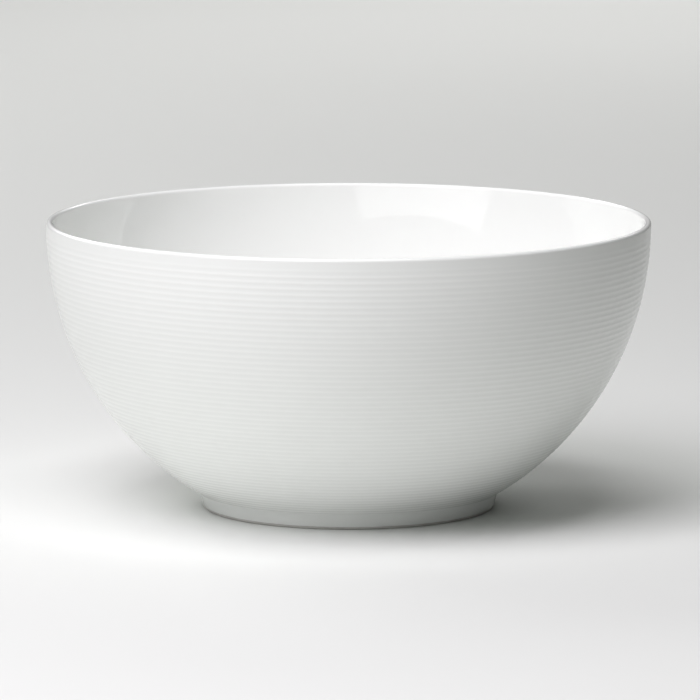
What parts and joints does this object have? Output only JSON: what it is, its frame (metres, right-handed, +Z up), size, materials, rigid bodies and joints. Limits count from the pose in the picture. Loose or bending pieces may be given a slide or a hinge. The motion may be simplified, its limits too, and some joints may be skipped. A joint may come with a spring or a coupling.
{
  "type": "serving bowl",
  "caption": "Round white porcelain serving bowl with fine horizontal ribs outside, a smooth glazed inside, a rounded lip and a low foot ring.",
  "frame": {"origin": "centre of the standing face of the foot ring, on the bowl's axis", "axes": "+Z up along the bowl's axis of revolution, towards the lip; +X and +Y are any two directions square to it, because the bowl is round"},
  "size_m": [0.24, 0.24, 0.115],
  "materials": {
    "fired_clay": "fired hard porcelain, fine and matt, under the glaze",
    "bare_foot": "bare fired porcelain, polished smooth where it stands, slightly worn",
    "inside_glaze": "clear gloss glaze over white porcelain",
    "outside_glaze": "clear gloss glaze over white porcelain, softened by the ribs under it",
    "well_glaze": "clear gloss glaze over white porcelain"
  },
  "bodies": {
    "root": {"porcelain_body": "fired_clay", "foot_ring": "bare_foot", "inside_glaze": "inside_glaze", "outside_glaze": "outside_glaze", "foot_well_glaze": "well_glaze"}
  },
  "joints": []
}
